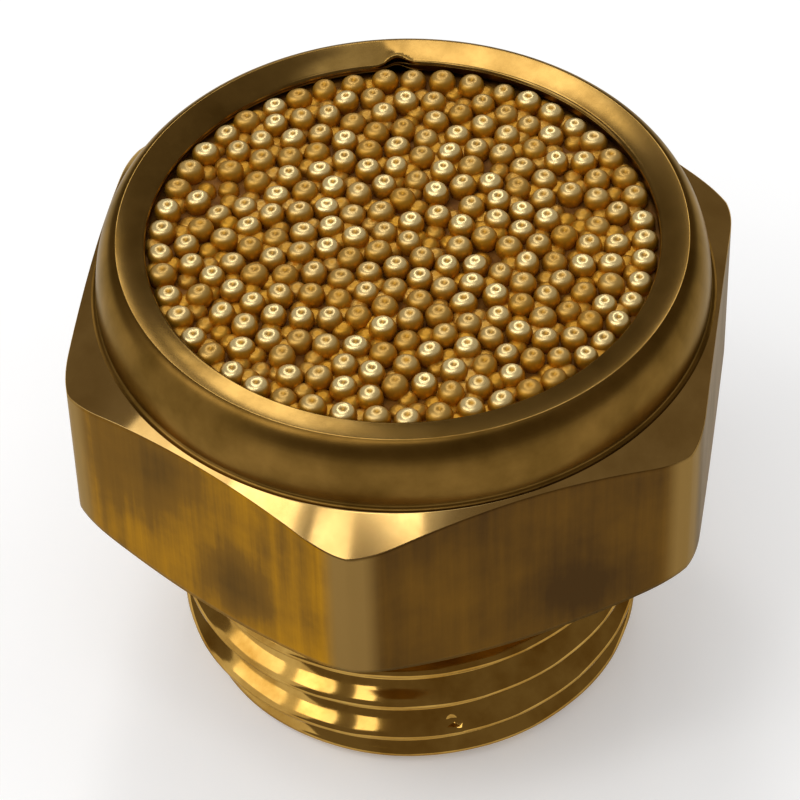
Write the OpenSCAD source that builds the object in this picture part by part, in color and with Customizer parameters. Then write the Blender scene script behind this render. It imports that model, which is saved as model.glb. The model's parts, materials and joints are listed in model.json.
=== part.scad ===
// Breather vent cap: a brass screw-in body, turned from hexagon bar, that holds a
// disc of sintered bronze beads under a rolled lip. Air passes through the disc
// and out of the bore in the threaded stub.
// Millimetres, +Z up along the axis, origin at the centre of the stub's end face.

/* [Threaded stub] */
// Outside diameter of the male pipe thread
thread_d = 13.157; // [11.5:0.001:15]
// Length of the stub, from its end to the underside of the hexagon
thread_length = 7.35; // [4:0.05:14]
// Lead-in chamfer on the end of the thread
lead_in = 0.7; // [0.2:0.1:1]
// Diameter of the vent passage
bore_d = 9; // [6:0.1:9.6]
// Chamfer on the mouth of the vent passage
bore_chamfer = 0.4; // [0.1:0.1:0.6]

/* [Hexagon] */
// Width of the spanner hexagon across its flats
hex_width = 17; // [17:0.5:24]
// Height of the hexagon, from its underside to the ledge round the collar
hex_height = 5.65; // [4:0.05:10]
// What is turned off the bar at each corner, measured along the radius
corner_trim = 0.25; // [0.1:0.05:0.6]
// Step from the flats in to the start of the corner chamfers
chamfer_step = 0.1; // [0.05:0.05:0.3]
// Slope of the corner chamfers below the end faces, in degrees
chamfer_angle = 28; // [20:1:45]

/* [Collar] */
// Height of the collar above the ledge
collar_height = 1.9; // [1.6:0.1:4]
// Wall of the collar round the disc, at its foot
collar_wall = 1.1; // [1.05:0.01:1.14]
// How far the outer shoulder rolls in from the foot of the collar to the flat top of the lip
shoulder_width = 0.7; // [0.3:0.05:0.9]
// Radius of the fillet where the collar meets the ledge
root_r = 0.1; // [0.05:0.01:0.14]
// How far the rolled lip reaches in over the disc
lip_reach = 0.31; // [0.26:0.01:0.5]
// Height of the rolled lip above the face of the disc
lip_height = 0.45; // [0.4:0.05:1.2]
// Radius on the inner edge of the lip
lip_edge_r = 0.1; // [0.05:0.05:0.3]

/* [Sintered disc] */
// Diameter of the disc
disc_d = 14.3; // [13.4:0.1:14.4]
// Thickness of the disc between its faces
disc_thickness = 2.6; // [1.5:0.1:4]
// Diameter of the largest bead
bead_d = 0.74; // [0.6:0.02:0.9]
// Mean spacing of the beads
bead_pitch = 0.82; // [0.76:0.02:1.2]
// How far a bead stands above the face of the disc
bead_rise = 0.33; // [0.2:0.01:0.4]
// How far a bead may fall from its place in an even pattern, before it settles
bead_scatter = 0.34; // [0:0.01:0.4]
// Least gap between two beads, and between a bead and a wall
bead_gap = 0.03; // [0.01:0.01:0.1]
// Radius of the hollow that a lost bead leaves
hollow_r = 0.5; // [0.3:0.05:0.8]

/* [Hidden] */
$fn = 96;

// Steps in each rounded edge of the turned section
arc_steps = 10;
// Facets round one bead
bead_facets = 16;
// Least width of the ledge between the collar and the corner chamfers
ledge_least = 0.05;
// Start of the random scatter
scatter_seed = 7;
// Rounds in which crowded beads push each other apart, and the share of the crowding taken up in each
settle_rounds = 12;
settle_share = 0.4;
// Places on the face where a bead has come away
hollows = [[-3.9, 4.0], [0.7, -0.4], [5.0, -0.9]];

thread_r = thread_d / 2;
bore_r = bore_d / 2;
disc_r = disc_d / 2;
lip_r = disc_r - lip_reach;
collar_r = disc_r + collar_wall;
corner_r = hex_width / 2 / cos(30);
trimmed_r = corner_r - corner_trim;
face_r = max(hex_width / 2 - chamfer_step, collar_r + root_r + ledge_least);
chamfer_drop = (trimmed_r - face_r) * tan(chamfer_angle);

ledge_z = thread_length + hex_height;
rim_z = ledge_z + collar_height;
shoulder_height = collar_height - 2 * root_r;
face_z = rim_z - lip_height;
seat_z = face_z - disc_thickness;

// Points of an arc about a centre, from one angle to another, with its radius across and its radius up
function arc(centre, across, up, start, end) = [
    for (i = [0 : arc_steps])
        let (angle = start + (end - start) * i / arc_steps)
            centre + [across * cos(angle), up * sin(angle)]
];

// Half section of the turned body, as [radius, height] points
body_section = concat(
    // Stub, from the mouth of the passage to the hexagon's underside
    [
        [bore_r + bore_chamfer, 0],
        [thread_r - lead_in, 0],
        [thread_r, lead_in],
        [thread_r, thread_length]
    ],
    // Hexagon, with both corner chamfers
    [
        [face_r, thread_length],
        [trimmed_r, thread_length + chamfer_drop],
        [trimmed_r, ledge_z - chamfer_drop],
        [face_r, ledge_z]
    ],
    // Collar, from its root over the shoulder to the edge of the lip
    arc([collar_r + root_r, ledge_z + root_r], root_r, root_r, 270, 180),
    arc([collar_r - shoulder_width, rim_z - shoulder_height], shoulder_width, shoulder_height, 0, 90),
    arc([lip_r + lip_edge_r, rim_z - lip_edge_r], lip_edge_r, lip_edge_r, 90, 180),
    // Underside of the lip, seat of the disc and vent passage
    [
        [lip_r, face_z],
        [disc_r, face_z],
        [disc_r, seat_z],
        [bore_r, seat_z],
        [bore_r, bore_chamfer]
    ]
);

// Centres of beads that fall on a round face: a ring along its wall, then scattered rows inside it
function fallen_beads(ring_r) =
    let (
        ring_count = floor(180 / asin(bead_pitch / 2 / ring_r)),
        rows = ceil(ring_r / bead_pitch) + 1,
        width = 2 * rows + 1,
        shift = rands(-bead_scatter, bead_scatter, 2 * width * width, scatter_seed)
    )
    concat(
        [
            for (i = [0 : ring_count - 1])
                let (angle = 360 * i / ring_count)
                    ring_r * [cos(angle), sin(angle)]
        ],
        [
            for (row = [-rows : rows], column = [-rows : rows])
                let (
                    index = 2 * ((row + rows) * width + column + rows),
                    stagger = row % 2 == 0 ? 0 : 0.5,
                    even = bead_pitch * [column + stagger, row * sin(60)],
                    place = even + [shift[index], shift[index + 1]]
                )
                if (norm(place) < ring_r - bead_pitch / 2) place
        ]
    );

// Where a bead goes when those that crowd it push it away, inside a wall that stops its centre at ring_r
function pushed(centre, centres, ring_r) =
    let (
        room = bead_d + bead_gap,
        pushes = [
            for (other = centres)
                let (away = centre - other, distance = norm(away))
                    if (distance > 0 && distance < room) away * (room / distance - 1)
        ],
        total = len(pushes) == 0 ? [0, 0] : [for (push = pushes) 1] * pushes,
        place = centre + settle_share * total
    )
    norm(place) > ring_r ? place * ring_r / norm(place) : place;

// Centres after a number of rounds of pushing
function settled(centres, ring_r, rounds) =
    rounds < 1
        ? centres
        : settled([for (centre = centres) pushed(centre, centres, ring_r)], ring_r, rounds - 1);

// Centres of the beads on a face that a wall of radius field_r surrounds
function bead_centres(field_r) =
    let (ring_r = field_r - bead_gap - bead_d / 2)
        settled(fallen_beads(ring_r), ring_r, settle_rounds);

// Beads that are still there, away from the hollows
function kept_beads(centres) = [
    for (centre = centres)
        if (min([for (hollow = hollows) norm(centre - hollow)]) > hollow_r) centre
];

// Distance from a bead to its nearest neighbour
function nearest(centres, index) = min([
    for (other = [0 : len(centres) - 1])
        if (other != index) norm(centres[other] - centres[index])
]);

// Beads sunk in a face at height 0, each as large as its neighbours allow
module bead_field(centres) {
    for (i = [0 : len(centres) - 1]) {
        radius = min(bead_d, nearest(centres, i) - bead_gap) / 2;
        translate([centres[i].x, centres[i].y, bead_rise - bead_d / 2])
            sphere(radius, $fn = bead_facets);
    }
}

// Brass body: the turned section, left as hexagon bar where a spanner fits
module vent_body() {
    color("darkgoldenrod")
        intersection() {
            rotate_extrude()
                polygon(body_section);
            translate([0, 0, -collar_height])
                cylinder(r = corner_r, h = rim_z + 2 * collar_height, $fn = 6);
        }
}

// Sintered bronze disc, with beads on its open face and inside the vent passage
module sintered_disc() {
    color("goldenrod")
        union() {
            translate([0, 0, seat_z])
                cylinder(r = disc_r, h = disc_thickness);
            translate([0, 0, face_z])
                bead_field(kept_beads(bead_centres(lip_r)));
            translate([0, 0, seat_z])
                mirror([0, 0, 1])
                    bead_field(bead_centres(bore_r));
        }
}

vent_body();
sintered_disc();
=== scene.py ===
import json
import math
import random

import bpy
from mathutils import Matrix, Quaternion, Vector


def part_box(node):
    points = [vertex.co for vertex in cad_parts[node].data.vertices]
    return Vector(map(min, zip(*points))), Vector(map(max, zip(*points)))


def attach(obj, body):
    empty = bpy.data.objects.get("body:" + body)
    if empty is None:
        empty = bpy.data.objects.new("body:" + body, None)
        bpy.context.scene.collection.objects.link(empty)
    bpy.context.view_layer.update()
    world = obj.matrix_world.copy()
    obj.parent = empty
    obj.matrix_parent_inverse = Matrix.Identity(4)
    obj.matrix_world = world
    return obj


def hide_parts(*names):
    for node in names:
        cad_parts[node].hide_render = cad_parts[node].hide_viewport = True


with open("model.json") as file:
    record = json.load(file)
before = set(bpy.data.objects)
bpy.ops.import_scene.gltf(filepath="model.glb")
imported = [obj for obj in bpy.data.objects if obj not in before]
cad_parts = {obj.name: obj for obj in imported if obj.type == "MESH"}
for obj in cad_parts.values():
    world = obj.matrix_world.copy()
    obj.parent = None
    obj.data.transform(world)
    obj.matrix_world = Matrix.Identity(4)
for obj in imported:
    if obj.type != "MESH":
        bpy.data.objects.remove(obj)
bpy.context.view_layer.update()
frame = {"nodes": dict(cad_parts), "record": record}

# Vent body
# One piece of brass, turned on a lathe from drawn hexagon bar: a threaded stub, the spanner
# hexagon with chamfered corners, and a collar whose lip is rolled in over the disc.

MM = 0.001
mounts = {mount["name"]: mount for mount in frame["record"]["mounts"]}
body_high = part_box("vent_body")[1] / MM
disc_low, disc_high = (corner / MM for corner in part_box("sintered_disc"))

# Sizes are in millimetres and degrees where nothing else is said.
# Pipe thread: its helix, and the shares of the sharp thread's height that its crests and roots lose
thread_r = mounts["male_thread"]["dims"]["r_mm"]
thread_pitch = 1.337
thread_half_angle = 35
# Where the helix starts, as a share of a turn
thread_phase = -0.04
crest_cut = 1 / 16
crest_softness = 0.1
root_cut = 1 / 3
root_softness = 0.2
# Plain gap under the hexagon, the stretch over which the thread runs out there, and the lead-in
plain_gap = 0.15
thread_runout = 1.0
lead_in = 0.7
lead_in_softness = 0.1
# Ding in a flank of the thread, near the stub's end
ding_angle = 259
ding_z = 1.75
ding_width = 0.22
ding_height = 0.12
ding_depth = 0.25

# Vent passage
bore_r = 4.5
bore_chamfer = 0.4

# Spanner hexagon: its flats, its turned-off corners and their chamfers
hex_z = mounts["hexagon_seat"]["pos_m"][2] / MM
hex_height = 5.65
flat_r = body_high.y
trimmed_r = body_high.x
corner_softness = 0.4
chamfer_step = 0.1
chamfer_angle = 28
# Turn from one flat to the next, in radians
flat_turn = math.pi / 3

# Collar: its shoulder rolls in to a ridge, and stops just short of it so that the ridge stays crisp
collar_height = 1.9
collar_wall = 1.1
root_r = 0.1
shoulder_width = 0.7
ridge_angle = 84
ridge_gap = 0.4

# Lip: it reaches in over the disc, and its top falls towards the disc, less steeply at first
lip_reach = 0.31
lip_height = 0.45
lip_edge_r = 0.1
lip_fall = 0.135
lip_bend = 0.29
# Nick in the lip: it pushes the edge outward, and down by a share of that
nick_angle = 70
nick_width = 0.34
nick_depth = 0.24
nick_fold = 0.5
# Stretch of the lip that is pressed down, from the nick on, with how it starts and fades out
press_slope = 0.14
press_start = 3
press_end = 90
press_fade = 40

# Height of the solid's beads over the faces of the disc
bead_rise = 0.33

# Fineness of the mesh, and the share of a straight stretch at which a point keeps each edge crisp
columns = 480
thread_rows = 96
edge_share = 0.03

rim_z = body_high.z
ledge_z = hex_z + hex_height
face_r = flat_r - chamfer_step
disc_r = disc_high.x
lip_r = disc_r - lip_reach
collar_r = disc_r + collar_wall
shoulder_height = collar_height - 2 * root_r
ridge_r = collar_r - shoulder_width * (1 - math.cos(math.radians(ridge_angle)))
ridge_z = rim_z - shoulder_height * (1 - math.sin(math.radians(ridge_angle)))
face_z = rim_z - lip_height
seat_z = disc_low.z + bead_rise


def straight(start, end, count):
    """Points from start up to end, in a number of steps, with one more close to each end."""
    shares = [0, edge_share] + [i / count for i in range(1, count)] + [1 - edge_share]
    return [tuple(a + (b - a) * share for a, b in zip(start, end)) for share in shares]


def arc(centre, across, up, start, end, count):
    """Points on an arc of a circle or an ellipse about a centre, from one angle to another."""
    angles = [math.radians(start + (end - start) * i / count) for i in range(count + 1)]
    return [(centre[0] + across * math.cos(a), centre[1] + up * math.sin(a)) for a in angles]


def clamped(share):
    """A share, held between 0 and 1."""
    return min(max(share, 0), 1)


def smooth_least(a, b, softness):
    """The lesser of two lengths, blended where they are closer than the softness."""
    blend = max(softness - abs(a - b), 0) / softness
    return min(a, b) - blend * blend * softness / 4


def thread_radius(angle, z):
    """Radius of the thread's right-hand helix, with rounded crests and roots, a lead-in and a ding."""
    turn = (z / thread_pitch - angle / math.tau - thread_phase) % 1
    from_crest = abs(turn - 0.5) * thread_pitch
    slope = 1 / math.tan(math.radians(thread_half_angle))
    vee_height = thread_pitch / 2 * slope
    crest = -smooth_least(vee_height * crest_cut - from_crest * slope, 0, crest_softness)
    cut = smooth_least(crest, vee_height * (1 - root_cut), root_softness)
    fade = clamped((hex_z - plain_gap - z) / thread_runout)
    threaded = thread_r - cut * fade * fade * (3 - 2 * fade)
    whole = smooth_least(threaded, thread_r - lead_in + z, lead_in_softness)
    beside_ding = (angle - math.radians(ding_angle)) * thread_r / ding_width
    from_ding = math.hypot(beside_ding, (z - ding_z) / ding_height)
    return whole - ding_depth * math.exp(-from_ding * from_ding)


def bar_radius(angle):
    """Radius of the hexagon bar, with flats that face along Y and corners that are turned off."""
    from_flat = angle % flat_turn - flat_turn / 2
    return smooth_least(flat_r / math.cos(from_flat), trimmed_r, corner_softness)


def dented(radius, z, angle):
    """A point of the section in space, with the nick in the lip and the stretch pressed down beyond it."""
    if z > face_z and radius < ridge_r:
        past_nick = math.degrees(angle) - nick_angle
        pressed = clamped(past_nick / press_start) * clamped((press_end - past_nick) / press_fade)
        along_rim = math.radians(past_nick) * lip_r / nick_width
        push = max(lip_r + nick_depth * math.exp(-along_rim ** 2) - radius, 0)
        z = max(z - press_slope * pressed * (ridge_r - radius) - nick_fold * push, face_z)
        radius += push
    return (radius * math.cos(angle) * MM, radius * math.sin(angle) * MM, z * MM)


def grid_faces(rows, across):
    """Quads of a grid that closes on itself both ways."""
    faces = []
    for i in range(rows):
        for j in range(across):
            below = (i + 1) % rows
            beside = (j + 1) % across
            faces.append((i * across + j, i * across + beside, below * across + beside, below * across + j))
    return faces


def new_piece(name, points, faces, materials):
    """A smooth-shaded mesh object with its materials."""
    mesh = bpy.data.meshes.new(name)
    mesh.from_pydata(points, [], faces)
    mesh.shade_smooth()
    for material in materials:
        mesh.materials.append(material)
    piece = bpy.data.objects.new(name, mesh)
    bpy.context.scene.collection.objects.link(piece)
    return piece


def add_values(piece, name, values):
    """Stores one number for each point of a mesh, for its material to read."""
    layer = piece.data.attributes.new(name, "FLOAT", "POINT")
    layer.data.foreach_set("value", values)


def colour(code):
    """Linear colour from an sRGB hex code."""
    parts = [int(code[i:i + 2], 16) / 255 for i in (1, 3, 5)]
    linear = [p / 12.92 if p <= 0.04045 else ((p + 0.055) / 1.055) ** 2.4 for p in parts]
    return (*linear, 1)


def add_node(tree, kind, settings, sockets, stops=()):
    """Adds a shader node, with its settings, constant sockets and links, and the stops of a colour ramp."""
    made = tree.nodes.new(kind)
    for name, value in settings.items():
        setattr(made, name, value)
    for name, value in sockets.items():
        if isinstance(value, bpy.types.NodeSocket):
            tree.links.new(value, made.inputs[name])
        else:
            made.inputs[name].default_value = value
    for i, (position, code) in enumerate(stops):
        if i == len(made.color_ramp.elements):
            made.color_ramp.elements.new(1)
        made.color_ramp.elements[i].position = position
        made.color_ramp.elements[i].color = colour(code)
    return made


def new_material(name):
    """An empty node material, with its tree and its output node."""
    material = bpy.data.materials.new(name)
    material.use_nodes = True
    material.node_tree.nodes.clear()
    output = add_node(material.node_tree, "ShaderNodeOutputMaterial", {}, {})
    return material, material.node_tree, output


def per_size(size_mm):
    """Texture scale at which a pattern repeats about once in a size."""
    return 1 / (size_mm * MM)


# What brass reflects at a low angle
brass_glint = colour("#ece0c8")


def patchy_brass(name, patch_size, stops, dull, bright):
    """Brass that has gone brown in patches, which are duller than the metal between them."""
    material, tree, output = new_material(name)
    place = add_node(tree, "ShaderNodeTexCoord", {}, {}).outputs["Object"]
    patches = add_node(tree, "ShaderNodeTexNoise", {}, {
        "Vector": place, "Scale": per_size(patch_size), "Detail": 5, "Roughness": 0.6})
    patch_colour = add_node(tree, "ShaderNodeValToRGB", {}, {"Fac": patches.outputs["Fac"]}, stops)
    shine = add_node(tree, "ShaderNodeMapRange", {}, {
        "Value": patches.outputs["Fac"], "From Min": 0.3, "From Max": 0.7, "To Min": dull, "To Max": bright})
    surface = add_node(tree, "ShaderNodeBsdfPrincipled", {}, {
        "Base Color": patch_colour.outputs["Color"], "Metallic": 1, "Roughness": shine.outputs["Result"],
        "Specular Tint": brass_glint})
    tree.links.new(surface.outputs["BSDF"], output.inputs["Surface"])
    return material, tree, surface, place


# Turned brass: a satin shine with fine tool rings, browned by handling
tool_ring_spacing = 0.12
tool_ring_depth = 0.01
turned_brass, tree, surface, place = patchy_brass(
    "turned_brass", patch_size=2.6, stops=[(0.34, "#5e4419"), (0.64, "#7f5f2b")], dull=0.36, bright=0.27)
parts = add_node(tree, "ShaderNodeSeparateXYZ", {}, {"Vector": place})
flat_place = add_node(tree, "ShaderNodeCombineXYZ", {}, {"X": parts.outputs["X"], "Y": parts.outputs["Y"]})
radius = add_node(tree, "ShaderNodeVectorMath", {"operation": "LENGTH"}, {0: flat_place.outputs[0]})
along_section = add_node(tree, "ShaderNodeCombineXYZ", {}, {
    "X": radius.outputs["Value"], "Z": parts.outputs["Z"]})
tool_rings = add_node(tree, "ShaderNodeTexNoise", {}, {
    "Vector": along_section.outputs[0], "Scale": per_size(tool_ring_spacing), "Detail": 2})
ring_bump = add_node(tree, "ShaderNodeBump", {}, {
    "Height": tool_rings.outputs["Fac"], "Strength": 0.15, "Distance": tool_ring_depth * MM})
tree.links.new(ring_bump.outputs["Normal"], surface.inputs["Normal"])

# Cut brass: the thread, smooth and bright from a sharp tool
cut_brass = patchy_brass(
    "cut_brass", patch_size=1.6, stops=[(0.3, "#996f2b"), (0.6, "#bc954c")], dull=0.12, bright=0.06)[0]

# Faced brass: the upper corner chamfers, cut last with a sharp tool, so pale and almost a mirror
faced_brass = patchy_brass(
    "faced_brass", patch_size=2.0, stops=[(0.3, "#a8854a"), (0.65, "#c4a162")], dull=0.11, bright=0.07)[0]

# Burnished brass: the lip, pressed smooth by the roller that turned it in, so paler than the collar
burnished_brass = patchy_brass(
    "burnished_brass", patch_size=2.0, stops=[(0.3, "#6a4f22"), (0.65, "#94753e")], dull=0.18, bright=0.12)[0]

# Drawn brass: the bar's own skin on the flats, with streaks along the bar, brown stains and tarnish,
# and painted shade on the flats turned away from the window panes, and the paler metal at the corners
# where the lathe has taken that skin off
streak_width = 0.5
streak_length = 12.5
streak_depth = 0.02
stain_size = 3.2
# How much of the browning the streaks and the stains each make
streak_share = 0.35
stain_share = 0.5
drawn_brass, tree, output = new_material("drawn_brass")
place = add_node(tree, "ShaderNodeTexCoord", {}, {}).outputs["Object"]
# Tarnish and painted shade: browner on the flats turned away from the window panes, and on the stains
flat_browning_and_shade = add_node(tree, "ShaderNodeAttribute", {"attribute_name": "tarnish_and_shade"}, {}).outputs["Fac"]
turned_off = add_node(tree, "ShaderNodeAttribute", {"attribute_name": "turned_off"}, {}).outputs["Fac"]
stretched = add_node(tree, "ShaderNodeMapping", {}, {
    "Vector": place, "Scale": (1, 1, streak_width / streak_length)})
streaks = add_node(tree, "ShaderNodeTexNoise", {}, {
    "Vector": stretched.outputs[0], "Scale": per_size(streak_width), "Detail": 4, "Roughness": 0.65})
stains = add_node(tree, "ShaderNodeTexNoise", {}, {
    "Vector": place, "Scale": per_size(stain_size), "Detail": 5, "Roughness": 0.6})
streaks_tarnish_and_shade = add_node(tree, "ShaderNodeMath", {"operation": "MULTIPLY_ADD"}, {
    0: streaks.outputs["Fac"], 1: streak_share, 2: flat_browning_and_shade})
browning_and_shade = add_node(tree, "ShaderNodeMath", {"operation": "MULTIPLY_ADD"}, {
    0: stains.outputs["Fac"], 1: stain_share, 2: streaks_tarnish_and_shade.outputs[0]})
stain_and_shade_colour = add_node(
    tree, "ShaderNodeValToRGB", {}, {"Fac": browning_and_shade.outputs[0]},
    [(0.38, "#b07c14"), (0.6, "#73501b"), (0.95, "#463018")])
shine = add_node(tree, "ShaderNodeMapRange", {}, {
    "Value": browning_and_shade.outputs[0], "From Min": 0.4, "From Max": 1, "To Min": 0.3, "To Max": 0.42})
streak_bump = add_node(tree, "ShaderNodeBump", {}, {
    "Height": streaks.outputs["Fac"], "Strength": 0.15, "Distance": streak_depth * MM})
# A colour mix has its factor in socket 0, its two colours in sockets 6 and 7, and its result in output 2
bar_colour = add_node(tree, "ShaderNodeMix", {"data_type": "RGBA"}, {
    0: turned_off, 6: stain_and_shade_colour.outputs["Color"], 7: colour("#8a6c3a")})
surface = add_node(tree, "ShaderNodeBsdfPrincipled", {}, {
    "Base Color": bar_colour.outputs[2], "Metallic": 1, "Roughness": shine.outputs["Result"],
    "Specular Tint": brass_glint, "Normal": streak_bump.outputs["Normal"]})
tree.links.new(surface.outputs["BSDF"], output.inputs["Surface"])

# Turned stretches of the section that are the same all round, before the dents
collar_foot = (
    straight((face_r, ledge_z), (collar_r + root_r, ledge_z), count=1)
    + arc((collar_r + root_r, ledge_z + root_r), root_r, root_r, start=270, end=180, count=4)
)
shoulder = arc(
    (collar_r - shoulder_width, rim_z - shoulder_height), shoulder_width, shoulder_height,
    start=0, end=ridge_angle - ridge_gap, count=20)
lip_top = [
    (radius, ridge_z - lip_fall * share * (1 - lip_bend + lip_bend * share))
    for radius, share in straight((ridge_r, 0), (lip_r + lip_edge_r, 1), count=8)
]
lip_edge_z = ridge_z - lip_fall - lip_edge_r
lip_edge = arc((lip_r + lip_edge_r, lip_edge_z), lip_edge_r, lip_edge_r, start=90, end=180, count=6)
inside = (
    straight((lip_r, lip_edge_z), (lip_r, face_z), count=2)
    + straight((lip_r, face_z), (disc_r, face_z), count=1)
    + straight((disc_r, face_z), (disc_r, seat_z), count=1)
    + straight((disc_r, seat_z), (bore_r, seat_z), count=1)
    + straight((bore_r, seat_z), (bore_r, bore_chamfer), count=2)
    + straight((bore_r, bore_chamfer), (bore_r + bore_chamfer, 0), count=1)
)


def body_stretches(angle):
    """The section at one angle, from the bore's mouth all the way round: finishes and their points."""
    bar_r = bar_radius(angle)
    drop = (bar_r - face_r) * math.tan(math.radians(chamfer_angle))
    heights = [hex_z * i / thread_rows for i in range(thread_rows)]
    return [
        (turned_brass, straight((bore_r + bore_chamfer, 0), (thread_radius(angle, 0), 0), count=2)),
        (cut_brass, [(thread_radius(angle, z), z) for z in heights]),
        (turned_brass, straight((thread_r, hex_z), (face_r, hex_z), count=2)),
        (turned_brass, straight((face_r, hex_z), (bar_r, hex_z + drop), count=3)),
        (drawn_brass, straight((bar_r, hex_z + drop), (bar_r, ledge_z - drop), count=8)),
        (faced_brass, straight((bar_r, ledge_z - drop), (face_r, ledge_z), count=5)),
        (turned_brass, collar_foot + shoulder[:-1]),
        (burnished_brass, shoulder[-1:] + lip_top + lip_edge),
        (turned_brass, inside),
    ]


angles = [math.tau * j / columns for j in range(columns)]
stretches = [body_stretches(angle) for angle in angles]
sections = [[point for finish, points in column for point in points] for column in stretches]
rows = len(sections[0])
body_points = [dented(*sections[j][i], angles[j]) for i in range(rows) for j in range(columns)]
finishes = [turned_brass, drawn_brass, cut_brass, faced_brass, burnished_brass]
row_finishes = [finishes.index(finish) for finish, points in stretches[0] for point in points]
vent_body = new_piece("brass_vent_body", body_points, grid_faces(rows, columns), finishes)
for face in vent_body.data.polygons:
    face.material_index = row_finishes[face.index // columns]

# How brown each flat is painted, anticlockwise from the one between +X and +Y: tarnish, and painted shade
# that darkens the flats turned away from the window panes
flat_tarnish_and_shade = [0.3, 0.25, 0.2, 0.04, 0.36, 0.42]
# Brown stains on the flats: the middle, the reach and how dark each one is
brown_stains = [
    (Vector((-9.0, -1.6, 12.0)), 3.2, 0.2),
    (Vector((-8.0, -3.1, 11.9)), 0.9, 0.25),
    (Vector((-6.8, -5.3, 8.9)), 1.1, 0.4),
    (Vector((1.7, -8.5, 9.0)), 1.3, 0.2),
]
# How far from a corner the bar's skin is off, and over how many degrees of that it fades out
bare_reach = 4.8
bare_fade = 2.4
# A hair that is added to the count of flats, so that a corner belongs to the flat that starts there
hair = 1e-6


def tarnish_and_shade_at(point, angle):
    """How brown the metal is at a point of the body: its flat's tarnish and painted shade, and the stains
    round it.
    """
    brown = flat_tarnish_and_shade[int(angle / flat_turn + hair)]
    for middle, reach, depth in brown_stains:
        distance = (Vector(point) / MM - middle).length / reach
        brown += depth * math.exp(-distance * distance)
    return brown


def turned_share(angle):
    """How far the lathe has taken off the bar's skin, from 0 on a flat to 1 at a corner."""
    from_corner = math.degrees(flat_turn / 2 - abs(angle % flat_turn - flat_turn / 2))
    return clamped((bare_reach - from_corner) / bare_fade)


add_values(vent_body, "tarnish_and_shade", [tarnish_and_shade_at(p, angles[i % columns]) for i, p in enumerate(body_points)])
add_values(vent_body, "turned_off", [turned_share(angles[i % columns]) for i in range(len(body_points))])
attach(vent_body, "root")
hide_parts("vent_body")

# Sintered disc
# Round bronze beads, sintered into one porous disc, pressed into the seat and held by the lip.
# The top beads lie where the solid has them, and beads of the layer below show in the gaps.

# Depths under a face of the disc: of the top beads' middles, with some sunk more, of the next layer
# below them, in shares that differ from bead to bead, and of the closed core
bead_sink = 0.04
sink_scatter = 0.12
layer_drop = 0.26
layer_shares = (0.6, 1.1)
core_drop = 0.25
# Size of the top beads against the solid's, so that neighbours touch
bead_tightness = 1.02
# How strongly the crowns are painted pale as a highlight: of the top beads, of the brightest and of those in
# the gaps
top_highlight = (0.25, 1)
bright_highlight = 1.5
gap_highlight = (0, 0.2)
# Beads whose crowns get the brightest painted highlight, as places on the face, and how near a place its bead
# lies
bright_places = [(1.62, 1.3), (-1.74, 1.85), (-1.05, 2.92), (5.73, 1.87), (1.79, -1.36)]
bright_reach = 0.42
# Beads in the gaps: their size, their least distances from the wall, the top beads and each other,
# and how many places are tried for them
gap_bead_r = 0.3
gap_margin = 0.2
gap_clearance = 0.4
gap_spacing = 0.42
gap_tries = 6000
# Form of a bead, as angles from its top: the end of its mesh, the crown that is painted pale as a highlight,
# and the start of the pore, which is painted as shade.
# The rows of its mesh lie closer towards the top, by a power.
bead_end = 125
row_crowding = 1.3
crown_end = 52
crown_fade = 10
pore_start = 66
pore_fade = 30
# What the painted value falls to in the pores and on the core, as painted shade
painted_shade_value = -0.3
# Least height over a face at which a facet of the solid is part of a bead
facet_height = 0.01
# Core: the hole at its axis, too small to see, its steps round the axis, and its tone
core_hole_r = 0.01
core_columns = 96
core_tone = 0.5
chance = random.Random(11)


def cad_beads(plane_z, side):
    """Centre and radius of each bead that stands out of a face of the solid, in millimetres."""
    mesh = frame["nodes"]["sintered_disc"].data
    places = [vertex.co / MM for vertex in mesh.vertices]
    keys = [(round(p.x, 3), round(p.y, 3), round(p.z, 3)) for p in places]
    owner = {}

    def root(key):
        """The corner that stands for all the corners joined to this one."""
        while owner[key] != key:
            owner[key] = owner[owner[key]]
            key = owner[key]
        return key

    for polygon in mesh.polygons:
        if max(side * (places[i].z - plane_z) for i in polygon.vertices) < facet_height:
            continue
        corners = [keys[i] for i in polygon.vertices]
        for key in corners:
            owner.setdefault(key, key)
        for key in corners[1:]:
            owner[root(key)] = root(corners[0])
    beads = {}
    for key in owner:
        beads.setdefault(root(key), []).append(key)
    found = []
    for group in beads.values():
        xs = [key[0] for key in group]
        ys = [key[1] for key in group]
        found.append(((min(xs) + max(xs)) / 2, (min(ys) + max(ys)) / 2, (max(xs) - min(xs)) / 2))
    return sorted(found)


def gap_beads(top_beads, field_r):
    """Places between the top beads where a bead of the next layer shows."""
    found = []
    for attempt in range(gap_tries):
        distance = field_r * math.sqrt(chance.random())
        angle = math.tau * chance.random()
        x = distance * math.cos(angle)
        y = distance * math.sin(angle)
        clear_of_top = all(math.hypot(x - a, y - b) > gap_clearance for a, b, r in top_beads)
        if clear_of_top and all(math.hypot(x - a, y - b) > gap_spacing for a, b in found):
            found.append((x, y))
    return found


disc_points = []
disc_faces = []
bead_tones = []
bead_painted_light_values = []


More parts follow.
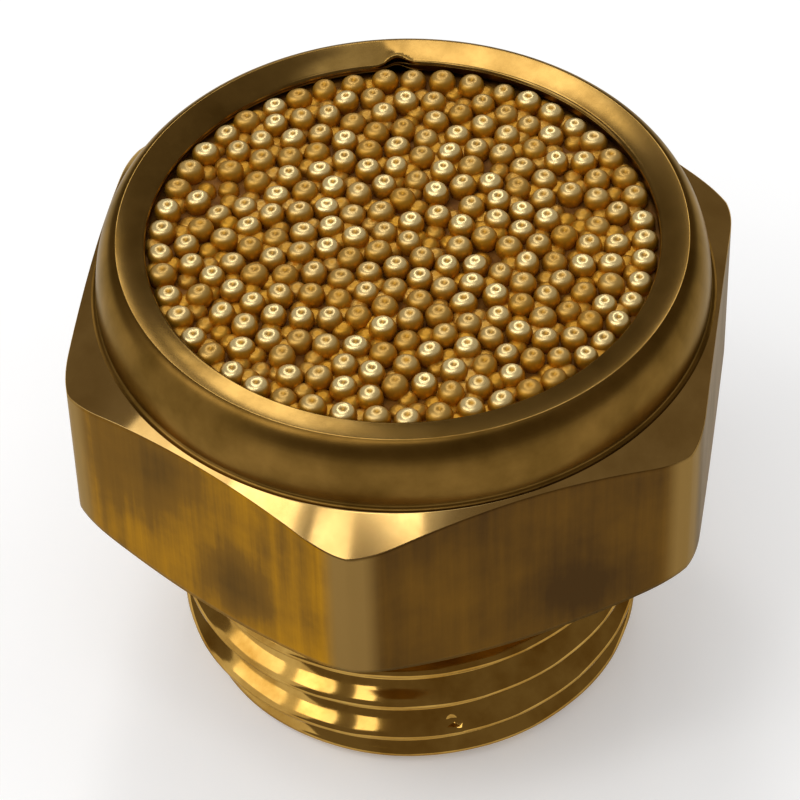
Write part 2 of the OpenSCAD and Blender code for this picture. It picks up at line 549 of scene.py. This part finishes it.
def add_bead(x, y, z, bead_r, side, highlight_strength, rows, across):
    """Adds the open part of one bead, a little out of round, with a flattened crown and a pit in it."""
    first = len(disc_points)
    flattening = chance.uniform(0.17, 0.24)
    turn = math.tau * chance.random()
    oval = 0.06 * chance.random()
    pit_angle = chance.uniform(10, 15)
    pit_depth = chance.uniform(0.06, 0.12)
    for i in range(rows + 1):
        polar = bead_end * (i / rows) ** row_crowding
        upward = math.cos(math.radians(polar))
        pit = math.exp(-(polar / pit_angle) ** 2)
        height = z + side * bead_r * (upward - flattening * upward ** 4 - pit_depth * pit)
        # Painted highlight: the crown is painted pale, less so in its pit, and the pore below takes the
        # painted shade value
        painted_light = highlight_strength * clamped((crown_end - polar) / crown_fade) * (1 - pit)
        pore = clamped((polar - pore_start) / pore_fade)
        for j in range(across if i else 1):
            around = math.tau * j / across
            reach = bead_r * math.sin(math.radians(polar)) * (1 + oval * math.cos(2 * (around - turn)))
            place = (x + reach * math.cos(around), y + reach * math.sin(around), height)
            disc_points.append(tuple(length * MM for length in place))
            bead_painted_light_values.append(painted_light + painted_shade_value * pore)
    for j in range(across):
        beside = (j + 1) % across
        disc_faces.append((first, first + 1 + j, first + 1 + beside))
        for i in range(rows - 1):
            upper = first + 1 + i * across
            lower = upper + across
            disc_faces.append((upper + j, lower + j, lower + beside, upper + beside))
    bead_tones.extend([chance.random()] * (len(disc_points) - first))


def add_layers(plane_z, side, field_r):
    """Adds the beads of one face of the disc and those that show between them."""
    top_beads = cad_beads(plane_z, side)
    for x, y, r in top_beads:
        sunk = bead_sink + sink_scatter * chance.random() ** 2
        bright = any(math.hypot(x - a, y - b) < bright_reach for a, b in bright_places)
        highlight_strength = bright_highlight if bright else chance.uniform(*top_highlight)
        add_bead(x, y, plane_z - side * sunk, r * bead_tightness, side, highlight_strength, rows=9, across=18)
    for x, y in gap_beads(top_beads, field_r - gap_margin):
        sunk = bead_sink + layer_drop * chance.uniform(*layer_shares)
        highlight_strength = chance.uniform(*gap_highlight)
        add_bead(x, y, plane_z - side * sunk, gap_bead_r, side, highlight_strength, rows=5, across=12)


def add_core(top_z, bottom_z):
    """Adds the closed core of the disc, whose faces lie just under the beads' middles."""
    first = len(disc_points)
    section = [
        (core_hole_r, top_z), (lip_r, top_z), (disc_r, top_z),
        (disc_r, bottom_z), (bore_r, bottom_z), (core_hole_r, bottom_z),
    ]
    for r, z in section:
        for j in range(core_columns):
            angle = math.tau * j / core_columns
            disc_points.append((r * math.cos(angle) * MM, r * math.sin(angle) * MM, z * MM))
    for face in grid_faces(len(section), core_columns):
        disc_faces.append(tuple(first + i for i in face))
    made = len(disc_points) - first
    bead_tones.extend([core_tone] * made)
    bead_painted_light_values.extend([painted_shade_value] * made)


add_layers(face_z, 1, lip_r)
add_layers(seat_z, -1, bore_r)
first_core_face = len(disc_faces)
add_core(face_z - core_drop, seat_z + core_drop)

# Sintered bronze: amber on the sides of the beads, with a painted highlight that makes their crowns pale, and
# painted shade of deep amber between them
mottle_size = 0.3
# How much the mottle and the bead's own tone add to the painted highlight and shade
mottle_share = 0.25
tone_share = 0.15
sintered_bronze, tree, output = new_material("sintered_bronze")
place = add_node(tree, "ShaderNodeTexCoord", {}, {}).outputs["Object"]
tone = add_node(tree, "ShaderNodeAttribute", {"attribute_name": "bead_tone"}, {}).outputs["Fac"]
painted_light = add_node(tree, "ShaderNodeAttribute", {"attribute_name": "bead_painted_light"}, {}).outputs["Fac"]
mottle = add_node(tree, "ShaderNodeTexNoise", {}, {
    "Vector": place, "Scale": per_size(mottle_size), "Detail": 4, "Roughness": 0.6})
mottle_and_painted_light = add_node(tree, "ShaderNodeMath", {"operation": "MULTIPLY_ADD"}, {
    0: mottle.outputs["Fac"], 1: mottle_share, 2: painted_light})
tone_and_painted_light = add_node(tree, "ShaderNodeMath", {"operation": "MULTIPLY_ADD"}, {
    0: tone, 1: tone_share, 2: mottle_and_painted_light.outputs[0]})
# Low values give deep amber, the painted shade; high values give the pale painted highlight
bronze_colour = add_node(
    tree, "ShaderNodeValToRGB", {}, {"Fac": tone_and_painted_light.outputs[0]},
    [(0, "#c88e18"), (0.24, "#b88524"), (0.6, "#be9850"), (1, "#e8d094")])
shine = add_node(tree, "ShaderNodeMapRange", {}, {
    "Value": tone_and_painted_light.outputs[0], "From Min": 0.3, "From Max": 1, "To Min": 0.4, "To Max": 0.24})
bare = add_node(tree, "ShaderNodeMapRange", {}, {
    "Value": tone_and_painted_light.outputs[0], "From Min": 0.1, "From Max": 0.7, "To Min": 0.75, "To Max": 0.6})
surface = add_node(tree, "ShaderNodeBsdfPrincipled", {}, {
    "Base Color": bronze_colour.outputs["Color"], "Metallic": bare.outputs["Result"],
    "Roughness": shine.outputs["Result"]})
tree.links.new(surface.outputs["BSDF"], output.inputs["Surface"])

# Shaded pore bronze: the depth of the disc between its beads, dull and painted dark brown as shade, so that
# the beads stand out
shaded_pore_bronze, tree, output = new_material("shaded_pore_bronze")
place = add_node(tree, "ShaderNodeTexCoord", {}, {}).outputs["Object"]
shade_mottle = add_node(tree, "ShaderNodeTexNoise", {}, {
    "Vector": place, "Scale": per_size(mottle_size), "Detail": 4, "Roughness": 0.6})
# Painted shade, mottled
painted_shade_colour = add_node(
    tree, "ShaderNodeValToRGB", {}, {"Fac": shade_mottle.outputs["Fac"]}, [(0.3, "#6e420a"), (0.7, "#96641a")])
surface = add_node(tree, "ShaderNodeBsdfPrincipled", {}, {
    "Base Color": painted_shade_colour.outputs["Color"], "Metallic": 0.4, "Roughness": 0.7})
tree.links.new(surface.outputs["BSDF"], output.inputs["Surface"])

sintered_disc = new_piece("sintered_bead_disc", disc_points, disc_faces, [sintered_bronze, shaded_pore_bronze])
for face in sintered_disc.data.polygons[first_core_face:]:
    face.material_index = 1
add_values(sintered_disc, "bead_tone", bead_tones)
add_values(sintered_disc, "bead_painted_light", bead_painted_light_values)
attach(sintered_disc, "root")
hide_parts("sintered_disc")

# Floor and sky
# A sheet of white paper under an even white sky. Both show whiter to the camera and in the metal
# than the light they give, so the object is lit at a plain level and its shadow stays on the floor.

white = colour("#ffffff")
grain_size = 1.5
# Brightness that the paper gains where it is seen
paper_lift = 0.16
# Strength of the sky as a light, and as it is seen
sky_light = 0.62
sky_shown = 1.0
# Half the side of the sheet, in metres
floor_reach = 2.0


def seen_rays(tree):
    """1 for rays that show a thing to the camera, straight or in metal or glass, and 0 for its light."""
    rays = add_node(tree, "ShaderNodeLightPath", {}, {})
    shown = add_node(tree, "ShaderNodeMath", {"operation": "MAXIMUM"}, {
        0: rays.outputs["Is Camera Ray"], 1: rays.outputs["Is Glossy Ray"]})
    return add_node(tree, "ShaderNodeMath", {"operation": "MAXIMUM"}, {
        0: shown.outputs[0], 1: rays.outputs["Is Transmission Ray"]}).outputs[0]


# White paper: matt, with a faint grain, and white round the shadow
white_paper, tree, output = new_material("white_paper_floor")
grain = add_node(tree, "ShaderNodeTexNoise", {}, {"Scale": per_size(grain_size), "Detail": 3})
paper = add_node(tree, "ShaderNodeMapRange", {}, {
    "Value": grain.outputs["Fac"], "To Min": 0.94, "To Max": 0.98})
matt = add_node(tree, "ShaderNodeBsdfDiffuse", {}, {"Color": paper.outputs["Result"]})
lift = add_node(tree, "ShaderNodeMath", {"operation": "MULTIPLY"}, {0: seen_rays(tree), 1: paper_lift})
glow = add_node(tree, "ShaderNodeEmission", {}, {"Color": white, "Strength": lift.outputs[0]})
surface = add_node(tree, "ShaderNodeAddShader", {}, {0: matt.outputs[0], 1: glow.outputs[0]})
tree.links.new(surface.outputs[0], output.inputs["Surface"])
floor_corners = [
    (-floor_reach, -floor_reach, 0), (floor_reach, -floor_reach, 0),
    (floor_reach, floor_reach, 0), (-floor_reach, floor_reach, 0),
]
floor = new_piece("paper_floor", floor_corners, [(0, 1, 2, 3)], [white_paper])

world = bpy.data.worlds.new("white_sky")
bpy.context.scene.world = world
world.use_nodes = True
tree = world.node_tree
tree.nodes.clear()
sky_level = add_node(tree, "ShaderNodeMapRange", {}, {
    "Value": seen_rays(tree), "To Min": sky_light, "To Max": sky_shown})
sky = add_node(tree, "ShaderNodeBackground", {}, {"Color": white, "Strength": sky_level.outputs["Result"]})
sky_output = add_node(tree, "ShaderNodeOutputWorld", {}, {})
tree.links.new(sky.outputs[0], sky_output.inputs["Surface"])

# Lamps and cards
# Three window panes above to the left, a lamp overhead and three panes at the back, and two dark
# cards that only the metal sees, which give its curves contrast.

# Point that the lamps face, as a share of the object's height
faced_share = 0.6
# Distances of the lamps and the cards from that point, in metres
lamp_distance = 0.2
card_distance = 0.3
card_steps = 24
middle = Vector((0, 0, rim_z * faced_share * MM))


def towards(azimuth, elevation):
    """Unit vector to a compass angle from +X and a height angle, both in degrees."""
    a = math.radians(azimuth)
    e = math.radians(elevation)
    return Vector((math.cos(e) * math.cos(a), math.cos(e) * math.sin(a), math.sin(e)))


def add_lamp(name, azimuth, elevation, turn, size, radiance):
    """A rectangular lamp that faces the object, turned about that line, with an even brightness."""
    way = towards(azimuth, elevation)
    lamp = bpy.data.lights.new(name, "AREA")
    lamp.shape = "RECTANGLE"
    lamp.size, lamp.size_y = size
    lamp.energy = radiance * math.pi * size[0] * size[1]
    holder = bpy.data.objects.new(name, lamp)
    holder.location = middle + lamp_distance * way
    holder.rotation_mode = "QUATERNION"
    holder.rotation_quaternion = way.to_track_quat("Z", "Y") @ Quaternion((0, 0, 1), math.radians(turn))
    holder.visible_camera = False
    bpy.context.scene.collection.objects.link(holder)


add_lamp("window_pane_left", azimuth=159, elevation=44, turn=32, size=(0.078, 0.09), radiance=1.6)
add_lamp("window_pane_middle", azimuth=187, elevation=55, turn=24, size=(0.048, 0.09), radiance=2.8)
add_lamp("window_pane_right", azimuth=215, elevation=59.5, turn=12, size=(0.024, 0.084), radiance=2.8)
add_lamp("overhead_lamp", azimuth=225, elevation=78, turn=12, size=(0.056, 0.034), radiance=3.4)
add_lamp("back_pane_high", azimuth=79, elevation=61, turn=0, size=(0.041, 0.056), radiance=4.2)
add_lamp("back_pane_middle", azimuth=69, elevation=44, turn=0, size=(0.028, 0.042), radiance=4.2)
add_lamp("back_pane_low", azimuth=64.5, elevation=27, turn=0, size=(0.021, 0.044), radiance=3.8)

# Dark card: an even warm grey, whatever light falls on it
dark_card, tree, output = new_material("dark_card")
surface = add_node(tree, "ShaderNodeEmission", {}, {"Color": colour("#80776a"), "Strength": 1})
tree.links.new(surface.outputs[0], output.inputs["Surface"])


def add_card(name, azimuths, elevations):
    """A curved dark card round part of the object, which shows in the metal alone."""
    points = []
    faces = []
    for i in range(card_steps + 1):
        for j in range(card_steps + 1):
            azimuth = azimuths[0] + (azimuths[1] - azimuths[0]) * i / card_steps
            elevation = elevations[0] + (elevations[1] - elevations[0]) * j / card_steps
            points.append(middle + card_distance * towards(azimuth, elevation))
    for i in range(card_steps):
        for j in range(card_steps):
            corner = i * (card_steps + 1) + j
            faces.append((corner, corner + 1, corner + card_steps + 2, corner + card_steps + 1))
    card = new_piece(name, points, faces, [dark_card])
    card.visible_camera = False
    card.visible_diffuse = False
    card.visible_shadow = False


add_card("front_card", azimuths=(195, 415), elevations=(0, 74))
add_card("back_card", azimuths=(55, 150), elevations=(0, 66))

# Camera
# A long lens at the photograph's viewing angle. Its place and its aim, in millimetres, and its roll
# were fitted to the outline of the object.

camera_azimuth = -110.01
camera_elevation = 46.39
camera_distance = 106.34
camera_roll = -1.76
camera_aim = Vector((-0.216, -0.024, 8.443))
lens = bpy.data.cameras.new("camera")
lens.sensor_width = 36
lens.lens = 172.67
lens.clip_start = 0.005
camera = bpy.data.objects.new("camera", lens)
backward = towards(camera_azimuth, camera_elevation)
camera.location = (camera_aim + camera_distance * backward) * MM
level = (-backward).to_track_quat("-Z", "Y")
camera.rotation_mode = "QUATERNION"
camera.rotation_quaternion = level @ Quaternion((0, 0, 1), math.radians(camera_roll))
bpy.context.scene.collection.objects.link(camera)
bpy.context.scene.camera = camera
bpy.context.scene.view_settings.view_transform = "Standard"
